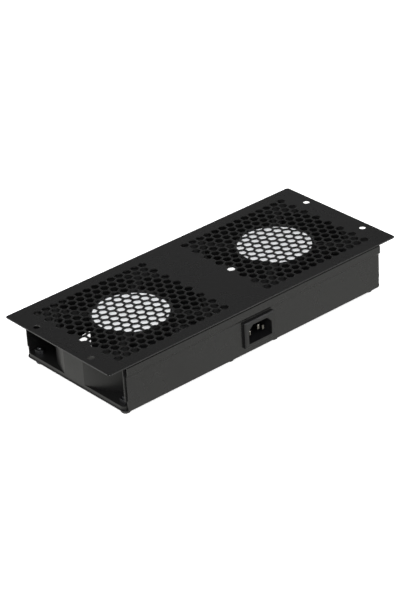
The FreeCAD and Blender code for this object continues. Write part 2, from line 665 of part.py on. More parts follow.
def make_motor(side, x):
    """Everything inside the cup and the hub, and the label that closes the cup."""
    bush = cut(cylinder("0", "0", TUBE_FOOT, "Dim.bush_diameter", "Dim.bush_length"),
               cylinder("0", "0", TUBE_FOOT, "(Dim.shaft_diameter + 2 * Dim.running_gap)",
                        "Dim.bush_length"))
    place(bush, x, "0", FLOOR)
    finish(bush, "bearing_bush_" + side)

    shaft_top = f"({BUSH_TOP} + Dim.end_float + 2 * Dim.clip_thickness)"
    length = f"{shaft_top} - Dim.hub_base"
    shaft = cylinder("0", "0", "Dim.hub_base", "Dim.shaft_diameter", length)
    place(shaft, x, "0", f"{FLOOR} + Dim.hub_base")
    finish(shaft, "shaft_" + side)

    clip_at = f"({BUSH_TOP} + Dim.end_float)"
    bore = "(Dim.shaft_diameter + 2 * Dim.press_gap)"
    clip = cut(cylinder("0", "0", clip_at, "Dim.clip_diameter", "Dim.clip_thickness"),
               cylinder("0", "0", clip_at, bore, "Dim.clip_thickness"))
    place(clip, x, "0", FLOOR)
    finish(clip, "retaining_clip_" + side)

    rotor_outer = "(Dim.hub_diameter - 2 * Dim.hub_wall - 2 * Dim.press_gap)"
    cage_foot = f"({CORE_FOOT} - Dim.hub_wall)"
    cage_height = f"({HUB_TOP} - {cage_foot} - Dim.hub_wall)"
    cage = cut(cylinder("0", "0", cage_foot, rotor_outer, cage_height),
               cylinder("0", "0", cage_foot, f"(2 * {ROTOR_INNER})", cage_height))
    place(cage, x, "0", FLOOR)
    finish(cage, "rotor_ring_" + side)

    make_stator(side, x)

    label = cylinder("0", "0", CUP_TOP, "Dim.label_diameter", "Dim.label_thickness")
    place(label, x, "0", f"{FLOOR} + {CUP_TOP}")
    finish(label, "motor_label_" + side)


def turned(corner, quarters):
    """A corner of a sketch, turned about its origin by quarter turns."""
    x, y = corner
    for _ in range(quarters % 4):
        x, y = f"-({y})", x
    return x, y


def make_stator(side, x):
    """A laminated core of four arms with pole shoes, and a winding on each arm."""
    seat = "(Dim.tube_diameter + 2 * Dim.press_gap)"
    shoe = "Dim.shoe_width / 2"
    face = f"sqrt((Dim.core_diameter / 2)^2 - ({shoe})^2)"
    inside = f"(2 * {face} - 2 * Dim.shoe_depth)"
    outline = []
    body = new_body("core_" + side)
    stack = new_sketch(body, "XY_Plane", CORE_FOOT)
    arm = "Dim.core_arm / 2"
    quarter = [(arm, arm), (f"{inside} / 2", arm), (f"{inside} / 2", shoe), (face, shoe),
               (face, f"-{shoe}"), (f"{inside} / 2", f"-{shoe}"), (f"{inside} / 2", f"-{arm}")]
    for turn in range(4):
        outline += [turned(corner, -turn) for corner in quarter]
    draw_outline(stack, outline)
    pad(body, stack, "Dim.core_height")
    core_middle = new_sketch(body, "XY_Plane", CORE_FOOT)
    draw_circle(core_middle, "0", "0", "(Dim.tube_diameter + Dim.core_arm)")
    pad(body, core_middle, "Dim.core_height")
    bore = new_sketch(body, "XY_Plane")
    draw_circle(bore, "0", "0", seat)
    pocket(body, bore, "2 * Dim.fan_depth", symmetric=True)
    place(body, x, "0", FLOOR)
    finish(body, "stator_core_" + side)

    near = "((Dim.tube_diameter + Dim.core_arm) / 2 + Dim.coil_thickness / 2)"
    far = f"({inside} / 2 - Dim.coil_thickness / 2)"
    coil_length = f"({far} - {near})"
    centre = f"(({far} + {near}) / 2)"
    outer = "(Dim.core_arm + 2 * Dim.coil_thickness)"
    tall = "(Dim.core_height + 2 * Dim.coil_thickness)"
    slot = "(Dim.core_arm + 2 * Dim.press_gap)"
    slot_height = "(Dim.core_height + 2 * Dim.press_gap)"
    coils = []
    for quarter in range(4):
        wound = cut(box(centre, "0", f"({CORE_FOOT} - Dim.coil_thickness)", coil_length, outer, tall),
                    box(centre, "0", f"({CORE_FOOT} - Dim.press_gap)", coil_length, slot, slot_height))
        wound.Placement = FreeCAD.Placement(FreeCAD.Vector(), FreeCAD.Rotation(Z, 90 * quarter))
        coils.append(wound)
    place(group(coils, "stator_coils_" + side), x, "0", FLOOR)


def make_fasteners(side, x):
    """Screws up from below the finger guard, through tray and frame, into nuts."""
    screws, nuts = [], []
    head_foot = "(-Dim.tray_sheet - Dim.guard_wire - Dim.screw_head_height)"
    reach = ("(Dim.guard_wire + Dim.tray_sheet + Dim.fan_flange + Dim.nut_height"
             " + Dim.screw_spare + Dim.screw_head_height)")
    thread_bore = "(Dim.screw_diameter + 2 * Dim.thread_gap)"
    for sx in ("-", ""):
        for sy in ("-", ""):
            at = (sx + HOLE_AT, sy + HOLE_AT)
            screws.append(fuse([
                cylinder(*at, head_foot, "Dim.screw_head", "Dim.screw_head_height"),
                cylinder(*at, head_foot, "Dim.screw_diameter", reach),
            ]))
            nuts.append(cut(
                hexagon(*at, "Dim.fan_flange", "Dim.nut_flats", "Dim.nut_height"),
                cylinder(*at, "Dim.fan_flange", thread_bore, "Dim.nut_height"),
            ))
    place(group(screws, "fan_screws_" + side), x, "0", FLOOR)
    place(group(nuts, "fan_nuts_" + side), x, "0", FLOOR)


def make_guard(side, x):
    """The finger guard under a fan: a ring on crossed arms with an ear at each fan screw."""
    level = "(-Dim.tray_sheet - Dim.guard_wire)"
    wire = "Dim.guard_wire"
    pieces = [cut(cylinder("0", "0", level, f"({GUARD_RING} + {wire})", wire),
                  cylinder("0", "0", level, f"({GUARD_RING} - {wire})", wire))]
    for turn in (45, 135):
        arm = doc.addObject("Part::Box", "arm")
        span = f"(2 * {HOLE_AT} * sqrt(2) - Dim.fan_hole - Dim.guard_wire)"
        bind(arm, Length=span, Width=wire, Height=wire)
        place(arm, f"-{span} / 2", f"-{wire} / 2", level)
        crossed = doc.addObject("Part::Compound", "crossed")
        crossed.Links = [arm]
        crossed.Placement = FreeCAD.Placement(FreeCAD.Vector(), FreeCAD.Rotation(Z, turn))
        pieces.append(crossed)
    for sx in ("-", ""):
        for sy in ("-", ""):
            at = (sx + HOLE_AT, sy + HOLE_AT)
            pieces.append(cut(cylinder(*at, level, "Dim.guard_ear", wire),
                              cylinder(*at, level, "Dim.fan_hole", wire)))
    guard = fuse(pieces)
    place(guard, x, "0", FLOOR)
    finish(guard, "finger_guard_" + side)


# The inlet: a moulded housing that snaps into the front wall, three pins and a boot behind. Its
# own zero is the centre of its flange, on the outer face of the wall.


def make_inlet_housing():
    body = new_body("inlet")
    flange = new_sketch(body, "XZ_Plane")
    draw_rectangle(flange, "0", "0", "Dim.inlet_width", "Dim.inlet_height")
    pad(body, flange, "Dim.inlet_proud")
    front = -number("Dim.inlet_proud")

    def front_edge(edge):
        return all(abs(v.Point.y - front) < 1e-6 for v in edge.Vertexes)

    soften(body, "Chamfer", "Dim.inlet_edge", front_edge)
    trunk = new_sketch(body, "XZ_Plane")
    draw_rectangle(trunk, "0", "0", "Dim.inlet_body_width", "Dim.inlet_body_height")
    pad(body, trunk, "Dim.inlet_body_depth", reverse=True)
    ear = new_sketch(body, "XY_Plane")
    side, out = "Dim.inlet_body_width / 2", "(Dim.inlet_body_width / 2 + Dim.inlet_ear)"
    catch = "(Dim.tray_sheet + Dim.inlet_ear_gap)"
    slope = f"({catch} + 5 * Dim.inlet_ear)"
    inside = f"({side} - Dim.inlet_ear)"
    draw_outline(ear, [(inside, catch), (out, catch), (side, slope), (inside, slope)])
    right = pad(body, ear, "Dim.inlet_body_height / 3", symmetric=True)
    mirrored(body, right, "YZ_Plane")
    socket = new_sketch(body, "XZ_Plane", "Dim.inlet_proud")
    half, tall, cut_off = "Dim.socket_width / 2", "Dim.socket_height / 2", "Dim.socket_chamfer"
    draw_outline(socket, [
        (f"-{half}", f"-{tall}"),
        (half, f"-{tall}"),
        (half, f"{tall} - {cut_off}"),
        (f"{half} - {cut_off}", tall),
        (f"-{half} + {cut_off}", tall),
        (f"-{half}", f"{tall} - {cut_off}"),
    ])
    pocket(body, socket, "Dim.socket_depth")
    seats = new_sketch(body, "XZ_Plane")
    for x, z in PIN_PLACES.values():
        draw_rectangle(seats, x, z, "Dim.pin_thickness", "Dim.pin_height")
    pocket(body, seats, "4 * Dim.inlet_body_depth", symmetric=True)
    place(body, "0", f"-{WALL_OUTER}", INLET_CENTRE)
    finish(body, "inlet_housing")


PIN_PLACES = {
    "line_pin": ("Dim.pin_pitch / 2", "-Dim.pin_offset / 2"),
    "neutral_pin": ("-Dim.pin_pitch / 2", "-Dim.pin_offset / 2"),
    "earth_pin": ("0", "Dim.pin_offset / 2"),
}


def make_pin(name, recess):
    """A flat pin with a bevelled tip, thinned to a tab behind the housing."""
    x, z = PIN_PLACES[name]
    body = new_body(name)
    blade = new_sketch(body, "XZ_Plane", f"(Dim.inlet_proud - {recess})")
    draw_rectangle(blade, "0", "0", "Dim.pin_thickness", "Dim.pin_height")
    pad(body, blade, f"Dim.inlet_proud - {recess} + Dim.inlet_body_depth", reverse=True)
    tip = -number(f"Dim.inlet_proud - {recess}")

    def tip_edge(edge):
        return all(abs(v.Point.y - tip) < 1e-6 for v in edge.Vertexes)

    soften(body, "Chamfer", "Dim.pin_tip", tip_edge)
    tab = new_sketch(body, "XZ_Plane", "-Dim.inlet_body_depth")
    draw_rectangle(tab, "0", "0", "Dim.tab_thickness", "Dim.pin_height")
    pad(body, tab, "Dim.tab_length", reverse=True)
    place(body, x, f"-{WALL_OUTER}", f"{INLET_CENTRE} + {z}")
    finish(body, name)


def make_boot():
    """The insulating boot: it grips the inlet body, and has its wire entries in its rear wall."""
    body = new_body("boot")
    shell = new_sketch(body, "XZ_Plane", "-Dim.inlet_body_depth + Dim.boot_grip")
    add = "2 * (Dim.boot_fit + Dim.boot_wall)"
    draw_rectangle(shell, "0", "0", f"(Dim.inlet_body_width + {add})",
                   f"(Dim.inlet_body_height + {add})")
    pad(body, shell, "Dim.boot_grip + Dim.boot_depth", reverse=True)
    hollow = new_sketch(body, "XZ_Plane", "-Dim.inlet_body_depth + Dim.boot_grip")
    draw_rectangle(hollow, "0", "0", "(Dim.inlet_body_width + 2 * Dim.boot_fit)",
                   "(Dim.inlet_body_height + 2 * Dim.boot_fit)")
    pocket(body, hollow, "Dim.boot_grip + Dim.boot_depth - Dim.boot_wall")
    entries = new_sketch(body, "XZ_Plane", "-Dim.inlet_body_depth")
    for x in ("-Dim.entry_spread", "Dim.entry_spread"):
        draw_circle(entries, x, "Dim.entry_rise", "Dim.entry_diameter")
    draw_circle(entries, "0", "-Dim.earth_entry_drop", "Dim.earth_entry_diameter")
    pocket(body, entries, "2 * Dim.boot_depth")
    place(body, "0", f"-{WALL_OUTER}", INLET_CENTRE)
    finish(body, "inlet_boot")


def make_earth():
    """The earth stud welded to the tray floor, with its nut."""
    stud = fuse([
        cylinder("0", "0", "0", "Dim.stud_base", "Dim.stud_base_height"),
        cylinder("0", "0", "0", "Dim.stud_diameter", "Dim.stud_height"),
    ])
    place(stud, "0", "Dim.stud_y", FLOOR)
    finish(stud, "earth_stud")

    level = "Dim.stud_base_height"
    thread = "(Dim.stud_diameter + 2 * Dim.thread_gap)"
    nut = cut(hexagon("0", "0", level, "Dim.nut_flats", "Dim.nut_height"),
              cylinder("0", "0", level, thread, "Dim.nut_height"))
    place(nut, "0", "Dim.stud_y", FLOOR)
    finish(nut, "earth_nut")


make_cover()
make_tray()
for side, x, phase in (
    ("left", f"-{FAN_CENTRE}", float(sheet.phase_left)),
    ("right", FAN_CENTRE, float(sheet.phase_right)),
):
    make_frame("fan_frame_" + side, x)
    make_impeller("impeller_" + side, x, phase)
    make_motor(side, x)
    make_fasteners(side, x)
    make_guard(side, x)
make_inlet_housing()
make_pin("line_pin", "Dim.pin_recess")
make_pin("neutral_pin", "Dim.pin_recess")
make_pin("earth_pin", "Dim.earth_recess")
make_boot()
make_earth()
doc.recompute()

for feature in doc.Objects:
    bad = [state for state in feature.State if state in ("Invalid", "Error")]
    if bad:
        raise RuntimeError(f"{feature.Name} ({feature.Label}) is {bad}")
for name, feature in nodes.items():
    if feature.Shape.isNull() or not feature.Shape.isValid() or not feature.Shape.Solids:
        raise RuntimeError(f"{name} has no valid solid")

os.makedirs("parts", exist_ok=True)
for name, feature in nodes.items():
    feature.Shape.exportStep(f"parts/{name}.step")
    box_size = feature.Shape.BoundBox
    print(f"{name}: {len(feature.Shape.Solids)} solid(s), volume {feature.Shape.Volume:.0f},"
          f" x {box_size.XMin:.2f} {box_size.XMax:.2f} y {box_size.YMin:.2f} {box_size.YMax:.2f}"
          f" z {box_size.ZMin:.2f} {box_size.ZMax:.2f}")
print(len(nodes), "nodes")
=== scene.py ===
# %% [markdown]
# # A rack fan tray
#
# The object is a flat sheet-metal tray with two mains fans under a perforated black cover. Its
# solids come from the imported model, in metres. This scene gives each of them a finish, swaps the
# plain screws, nuts and finger guards for detailed ones, and sets up the camera and the light.

# %% Load the frame
import math
import bmesh
import bpy
from mathutils import Matrix, Vector


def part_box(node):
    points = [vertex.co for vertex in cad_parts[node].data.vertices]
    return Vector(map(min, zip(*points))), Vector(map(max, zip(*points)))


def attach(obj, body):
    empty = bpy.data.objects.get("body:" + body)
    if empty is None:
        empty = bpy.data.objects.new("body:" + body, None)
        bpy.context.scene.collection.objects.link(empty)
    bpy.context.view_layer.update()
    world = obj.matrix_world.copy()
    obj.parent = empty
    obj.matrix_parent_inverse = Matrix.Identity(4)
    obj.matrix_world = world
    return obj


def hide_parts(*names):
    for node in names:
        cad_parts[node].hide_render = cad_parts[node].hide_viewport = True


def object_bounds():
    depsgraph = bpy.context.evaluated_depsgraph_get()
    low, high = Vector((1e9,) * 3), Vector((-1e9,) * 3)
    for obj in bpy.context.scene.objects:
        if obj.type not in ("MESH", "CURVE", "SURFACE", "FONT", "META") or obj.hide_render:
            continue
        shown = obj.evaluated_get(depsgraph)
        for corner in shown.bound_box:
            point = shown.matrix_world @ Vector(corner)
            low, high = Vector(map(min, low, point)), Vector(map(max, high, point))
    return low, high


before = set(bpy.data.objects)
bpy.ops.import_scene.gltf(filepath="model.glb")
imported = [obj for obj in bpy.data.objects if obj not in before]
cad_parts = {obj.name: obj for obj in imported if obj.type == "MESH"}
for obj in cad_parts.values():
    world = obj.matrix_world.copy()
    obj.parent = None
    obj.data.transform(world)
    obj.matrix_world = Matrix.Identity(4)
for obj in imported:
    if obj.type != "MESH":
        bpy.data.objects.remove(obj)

cad_box = [list(corner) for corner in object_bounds()]
print("CAD nodes:", len(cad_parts), "box:", cad_box)

# %% [markdown]
# ## Camera
#
# The tray was photographed from the front left and a little above. A long lens keeps the far end
# of the plate nearly as large as the near one. The position and the direction were worked out
# from the rows of holes, which are regular, so the camera can be placed with no trial and error.

# %% Place the camera
MM = 0.001
AZIMUTH = math.radians(39.309)
ELEVATION = math.radians(29.4)
ROLL = math.radians(-3.655)
CAMERA_AT = (-1.0682, -1.2981, 0.9259)
SENSOR_MM = 36.0
LENS_MM = 144.9
FARTHEST_SEEN = 30.0

forward = Vector((math.sin(AZIMUTH) * math.cos(ELEVATION),
                  math.cos(AZIMUTH) * math.cos(ELEVATION),
                  -math.sin(ELEVATION)))
level_right = Vector((math.cos(AZIMUTH), -math.sin(AZIMUTH), 0))
level_up = level_right.cross(forward)
right = math.cos(ROLL) * level_right + math.sin(ROLL) * level_up
up = math.cos(ROLL) * level_up - math.sin(ROLL) * level_right

camera_data = bpy.data.cameras.new("camera")
camera_data.sensor_width = SENSOR_MM
camera_data.lens = LENS_MM
camera_data.clip_end = FARTHEST_SEEN
camera = bpy.data.objects.new("camera", camera_data)
bpy.context.scene.collection.objects.link(camera)
turn = Matrix((right, up, -forward)).transposed()
camera.matrix_world = Matrix.Translation(CAMERA_AT) @ turn.to_4x4()
bpy.context.scene.camera = camera
print("camera at", tuple(round(v, 3) for v in camera.location))

# %% [markdown]
# ## Colours and nodes
#
# Colours are written as the hex values that a screen shows, and one function turns them to the
# linear numbers that the renderer works with. A second small function adds a node with its
# settings and its links, so that each material below reads as a short list.

# %% Colour and node helpers


def linear(hex_value):
    """A screen colour such as "#1c1c1d" as linear red, green, blue and a full alpha."""
    channels = [int(hex_value[i:i + 2], 16) / 255 for i in (1, 3, 5)]
    return tuple(c / 12.92 if c <= 0.04045 else ((c + 0.055) / 1.055) ** 2.4
                 for c in channels) + (1.0,)


def add_node(tree, kind, settings=None, **inputs):
    """A new node. Each input is a value, or the output of another node.

    An input is named in words with underscores, or as n and its number where names repeat.
    """
    node = tree.nodes.new(kind)
    for name, value in (settings or {}).items():
        setattr(node, name, value)
    for name, value in inputs.items():
        numbered = name[0] == "n" and name[1:].isdigit()
        socket = node.inputs[int(name[1:]) if numbered else name.replace("_", " ")]
        if isinstance(value, bpy.types.NodeSocket):
            tree.links.new(value, socket)
        else:
            socket.default_value = value
    return node


def new_material(name):
    """An empty material with its output, ready for a shader."""
    material = bpy.data.materials.new(name)
    material.use_nodes = True
    tree = material.node_tree
    tree.nodes.clear()
    return material, tree, tree.nodes.new("ShaderNodeOutputMaterial")


print("helpers ready")

# %% [markdown]
# ## Powder coat
#
# The cover and the tray are steel sheet under a baked polyester powder. The powder flows while it
# melts but never quite levels, so the skin keeps a fine grain: it breaks reflections up into a
# soft sheen. Grains are about 0.3 mm across, too fine for this view, so they are drawn at
# 1.1 mm and low. A slow cloud in the roughness stands for handling and dust.

# %% Powder-coated steel
COAT_CLOUD = 45 * MM
COAT_GRAIN_DEPTH = 0.07 * MM


def powder_coat(name, colour, dusty, grain_mm, roughness):
    """Sheet steel under a baked powder: a fine grain, and a slow cloud in its tone and gloss."""
    material, tree, output = new_material(name)
    place = add_node(tree, "ShaderNodeTexCoord").outputs["Object"]
    grain = add_node(tree, "ShaderNodeTexNoise", Vector=place, Scale=1 / (grain_mm * MM), Detail=2.0)
    clouds = add_node(tree, "ShaderNodeTexNoise", Vector=place, Scale=1 / COAT_CLOUD, Detail=4.0,
                      Roughness=0.6)
    tint = add_node(tree, "ShaderNodeMix", {"data_type": "RGBA"}, n0=clouds.outputs["Fac"],
                    n6=linear(colour), n7=linear(dusty))
    sheen = add_node(tree, "ShaderNodeMapRange", Value=clouds.outputs["Fac"], From_Min=0.3,
                     From_Max=0.7, To_Min=roughness - 0.05, To_Max=roughness + 0.05)
    bump = add_node(tree, "ShaderNodeBump", Strength=0.6, Distance=COAT_GRAIN_DEPTH,
                    Height=grain.outputs["Fac"])
    shader = add_node(tree, "ShaderNodeBsdfPrincipled", Base_Color=tint.outputs[2],
                      Roughness=sheen.outputs["Result"], IOR=1.42, Normal=bump.outputs["Normal"])
    tree.links.new(shader.outputs["BSDF"], output.inputs["Surface"])
    return material


coat = powder_coat("polyester powder coat", "#0f0f0f", "#161616", 1.1, 0.28)
print("made", coat.name)

# %% [markdown]
# ## Fan castings and mouldings
#
# The fan's frame is a zinc-aluminium die casting under black paint, smoother than powder. The
# impeller, the inlet and its boot are moulded. Glass-filled nylon and PBT come out of a spark
# eroded mould with a fine even matt grain.

# %% Paint and plastics
SKIN_CLOUD = 18 * MM


def even_skin(name, colour, roughness, grain_mm, depth_mm, worn):
    """A painted or moulded skin: a fine grain, and a slight cloud in its tone and its gloss."""
    material, tree, output = new_material(name)
    place = add_node(tree, "ShaderNodeTexCoord").outputs["Object"]
    grain = add_node(tree, "ShaderNodeTexNoise", Vector=place, Scale=1 / (grain_mm * MM), Detail=3.0)
    clouds = add_node(tree, "ShaderNodeTexNoise", Vector=place, Scale=1 / SKIN_CLOUD, Detail=3.0)
    gloss = add_node(tree, "ShaderNodeMapRange", Value=clouds.outputs["Fac"], From_Min=0.3,
                     From_Max=0.7, To_Min=roughness - 0.04, To_Max=roughness + 0.04)
    tint = add_node(tree, "ShaderNodeMix", {"data_type": "RGBA"}, n0=clouds.outputs["Fac"],
                    n6=linear(colour), n7=linear(worn))
    bump = add_node(tree, "ShaderNodeBump", Strength=0.3, Distance=depth_mm * MM,
                    Height=grain.outputs["Fac"])
    shader = add_node(tree, "ShaderNodeBsdfPrincipled", Base_Color=tint.outputs[2],
                      Roughness=gloss.outputs["Result"], IOR=1.43, Normal=bump.outputs["Normal"])
    tree.links.new(shader.outputs["BSDF"], output.inputs["Surface"])
    return material


casting_paint = even_skin("painted die casting", "#0c0c0c", 0.4, 1.4, 0.04, "#101010")
impeller_pbt = even_skin("moulded PBT", "#0c0c0d", 0.48, 0.8, 0.03, "#0f0f10")
inlet_nylon = even_skin("moulded nylon", "#0b0b0c", 0.4, 0.7, 0.02, "#0f0f10")
boot_pvc = even_skin("soft PVC", "#1a1a1a", 0.6, 1.0, 0.04, "#1d1d1d")
print("made", casting_paint.name, impeller_pbt.name, inlet_nylon.name, boot_pvc.name)

# %% [markdown]
# ## Metals
#
# Screws and nuts are zinc plated, the guard is nickel-plated wire, the shaft is ground steel and
# the bush is sintered bronze. A metal has no colour of its own under its reflection, so each one
# is metallic, with its own tone and roughness, and a fine scratch or speckle in the bump.

# %% Metals


def metal(name, colour, shade, roughness, grain_mm, depth_mm, stretch=(1, 1, 1)):
    """A bare or plated metal. Stretch draws the grain out along an axis, as turning marks are."""
    material, tree, output = new_material(name)
    place = add_node(tree, "ShaderNodeTexCoord").outputs["Object"]
    drawn = add_node(tree, "ShaderNodeMapping", Vector=place, Scale=stretch)
    grain = add_node(tree, "ShaderNodeTexNoise", Vector=drawn.outputs["Vector"],
                     Scale=1 / (grain_mm * MM), Detail=3.0)
    tint = add_node(tree, "ShaderNodeMix", {"data_type": "RGBA"}, n0=grain.outputs["Fac"],
                    n6=linear(colour), n7=linear(shade))
    gloss = add_node(tree, "ShaderNodeMapRange", Value=grain.outputs["Fac"], From_Min=0.3,
                     From_Max=0.7, To_Min=roughness - 0.07, To_Max=roughness + 0.07)
    bump = add_node(tree, "ShaderNodeBump", Strength=0.3, Distance=depth_mm * MM,
                    Height=grain.outputs["Fac"])
    shader = add_node(tree, "ShaderNodeBsdfPrincipled", Base_Color=tint.outputs[2], Metallic=1.0,
                      Roughness=gloss.outputs["Result"], Normal=bump.outputs["Normal"])
    tree.links.new(shader.outputs["BSDF"], output.inputs["Surface"])
    return material


zinc = metal("zinc-plated steel", "#4a4b4d", "#3c3d3f", 0.42, 0.6, 0.01)
nickel_wire = metal("nickel-plated wire", "#9a9793", "#86837f", 0.25, 1.2, 0.01)
nickel_pin = metal("nickel-plated brass", "#6b6964", "#5b5954", 0.25, 0.5, 0.005)
ground_steel = metal("ground steel", "#b5b6b8", "#9c9da0", 0.22, 0.3, 0.004, (1, 1, 6))
rotor_steel = metal("turned steel", "#8a8b8d", "#74757a", 0.4, 0.4, 0.01, (1, 1, 8))
laminations = metal("stacked silicon steel", "#6e6f74", "#55565b", 0.5, 0.5, 0.02, (0.05, 0.05, 1))
sintered_bronze = metal("sintered bronze", "#a07a4a", "#856239", 0.55, 0.25, 0.02)
enamelled_copper = metal("enamelled copper", "#a4532c", "#7c3a1d", 0.35, 0.5, 0.05, (0.1, 0.1, 1))
print("made", len([m for m in bpy.data.materials if m.use_nodes]), "materials so far")

# %% [markdown]
# ## Label film
#
# A round white film closes each motor cup. It is the brightest thing under the black cover. The
# film is polyester with a matt varnish, so it scatters nearly all the light that falls through
# the holes and keeps only a soft sheen. It is bare, so a slow change of tone is all that it has.

# %% Label film
FILM_FLOW = 12 * MM
FILM_GRAIN = 0.6 * MM


def label_film(name):
    """White film under a matt varnish, with a slow change of tone where it was rolled on."""
    material, tree, output = new_material(name)
    place = add_node(tree, "ShaderNodeTexCoord").outputs["Object"]
    flow = add_node(tree, "ShaderNodeTexNoise", Vector=place, Scale=1 / FILM_FLOW, Detail=2.0)
    film = add_node(tree, "ShaderNodeMix", {"data_type": "RGBA"}, n0=flow.outputs["Fac"],
                    n6=linear("#fbfcfd"), n7=linear("#f4f6f8"))
    grain = add_node(tree, "ShaderNodeTexNoise", Vector=place, Scale=1 / FILM_GRAIN)
    bump = add_node(tree, "ShaderNodeBump", Strength=0.15, Distance=0.01 * MM,
                    Height=grain.outputs["Fac"])
    shader = add_node(tree, "ShaderNodeBsdfPrincipled", Base_Color=film.outputs[2],
                      Roughness=0.36, IOR=1.5, Normal=bump.outputs["Normal"])
    tree.links.new(shader.outputs["BSDF"], output.inputs["Surface"])
    return material


SIDES = ("left", "right")
fan_x = {}
for side in SIDES:
    low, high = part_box("motor_label_" + side)
    fan_x[side] = (low.x + high.x) / 2
label = label_film("white polyester film")
print("fan axes at x =", {side: round(x / MM, 2) for side, x in fan_x.items()}, "mm")

# %% [markdown]
# ## Dress the CAD nodes
#
# Most solids already have the right shape, so they keep it and only get a material. Their
# objects stay where they are.

# %% Give each node its finish


def dress(node, material):
    """Gives a CAD node its material and leaves its place and its mesh alone."""
    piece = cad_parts[node]
    piece.data.materials.clear()
    piece.data.materials.append(material)


for node in ("cover", "tray"):
    dress(node, coat)
for side in SIDES:
    for piece, material in (
        ("fan_frame_", casting_paint), ("impeller_", impeller_pbt), ("bearing_bush_", sintered_bronze),
        ("shaft_", ground_steel), ("retaining_clip_", ground_steel), ("rotor_ring_", rotor_steel),
        ("stator_core_", laminations), ("stator_coils_", enamelled_copper),
        ("motor_label_", label),
    ):
        dress(piece + side, material)
dress("inlet_housing", inlet_nylon)
dress("inlet_boot", boot_pvc)
for node in ("line_pin", "neutral_pin", "earth_pin"):
    dress(node, nickel_pin)
for node in ("earth_stud", "earth_nut"):
    dress(node, zinc)
print("dressed the CAD nodes")

# %% [markdown]
# ## Soft edges on the cover
#
# Punching leaves an edge with a small radius, and powder rounds it further. That radius is only a
# fifth of a millimetre, but it catches the light all along the plate and round every hole. The
# model's solid has sharp edges, so two modifiers soften them: Weld joins the loose triangles, and
# Bevel then rounds each edge that turns by more than 40 degrees. The mesh itself stays as it is.
# The tray keeps its sharp edges, because its corners are too fine for a bevel: where the rounded
# corner meets the end of a wall, a bevel throws points far off the sheet.

# %% Round the edges of the cover
EDGE_RADIUS = 0.2 * MM
EDGE_ANGLE = math.radians(40)
MERGE_DISTANCE = 0.002 * MM

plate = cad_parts["cover"]
weld = plate.modifiers.new("join", "WELD")
weld.merge_threshold = MERGE_DISTANCE
soft = plate.modifiers.new("soft edge", "BEVEL")
soft.width = EDGE_RADIUS
soft.segments = 1
soft.limit_method = "ANGLE"
soft.angle_limit = EDGE_ANGLE
soft.use_clamp_overlap = False
print("cover edges rounded to", EDGE_RADIUS / MM, "mm")

# %% [markdown]
# ## From bmesh to object
#
# Every new piece is built in a bmesh, in metres and in its final place, so its object can stay at
# the origin. This helper merges doubles, points the faces outwards, shades the piece and sets it
# on its body.

# %% Finish a new piece


def finish_piece(mesh, name, material, body="tray_body", smooth_angle=35):
    """Turns a bmesh into an object that is shaded, coloured and set on its body."""
    bmesh.ops.remove_doubles(mesh, verts=mesh.verts, dist=MERGE_DISTANCE)
    bmesh.ops.recalc_face_normals(mesh, faces=mesh.faces)
    data = bpy.data.meshes.new(name)
    mesh.to_mesh(data)
    mesh.free()
    data.materials.append(material)
    piece = bpy.data.objects.new(name, data)
    bpy.context.scene.collection.objects.link(piece)
    data.shade_smooth()
    data.set_sharp_from_angle(angle=math.radians(smooth_angle))
    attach(piece, body)
    print(f"{name}: {len(data.polygons)} faces")
    return piece


def spin_profile(mesh, points, centre, steps):
    """Turns a line of (radius, height) points once round the upright axis through centre."""
    verts = [mesh.verts.new((centre.x + r, centre.y, z)) for r, z in points]
    edges = [mesh.edges.new(pair) for pair in zip(verts, verts[1:])]
    bmesh.ops.spin(mesh, geom=verts + edges, cent=centre, axis=(0, 0, 1), angle=math.tau,
                   steps=steps, use_merge=True)


print("ready to model")

# %% [markdown]
# ## Finger guards
#
# Under each fan sits a guard of round wire: rings welded on two crossed arms, each arm ending in
# an eye that the fan screw clamps. A ring is a small circle spun once round the fan's axis, which
# gives clean loops of faces all the way. The welds sink each ring a little into the arms above it.

# %% Wire finger guards
ARM_WIRE = 1.6 * MM
RING_WIRE = 1.4 * MM
RING_RADII = (12 * MM, 21 * MM, 30 * MM, 39 * MM, 48 * MM, 56 * MM)
RING_STEPS_PER_MM = 1.6
RING_STEPS_LEAST = 24
EYE_RADIUS = 3.1 * MM
EYE_STEPS = 20
WIRE_SIDES = 8
HOLE_OFFSET = 52.5 * MM
CORNERS = ((-1, -1), (1, -1), (1, 1), (-1, 1))


def wire_ring(mesh, centre, radius, wire, steps):
    """A closed ring of round wire."""
    place = Matrix.Translation(centre + Vector((radius, 0, 0))) @ Matrix.Rotation(math.pi / 2, 4, "X")
    made = bmesh.ops.create_circle(mesh, cap_ends=False, radius=wire / 2, segments=WIRE_SIDES,
                                   matrix=place)
    edges = list({edge for vert in made["verts"] for edge in vert.link_edges})
    bmesh.ops.spin(mesh, geom=made["verts"] + edges, cent=centre, axis=(0, 0, 1),
                   angle=math.tau, steps=steps, use_merge=True)


def wire_rod(mesh, start, end, wire):
    """A straight rod of round wire between two points."""
    along = end - start
    turn = along.to_track_quat("Z", "Y").to_matrix().to_4x4()
    bmesh.ops.create_cone(mesh, cap_ends=True, segments=WIRE_SIDES, radius1=wire / 2,
                          radius2=wire / 2, depth=along.length,
                          matrix=Matrix.Translation((start + end) / 2) @ turn)


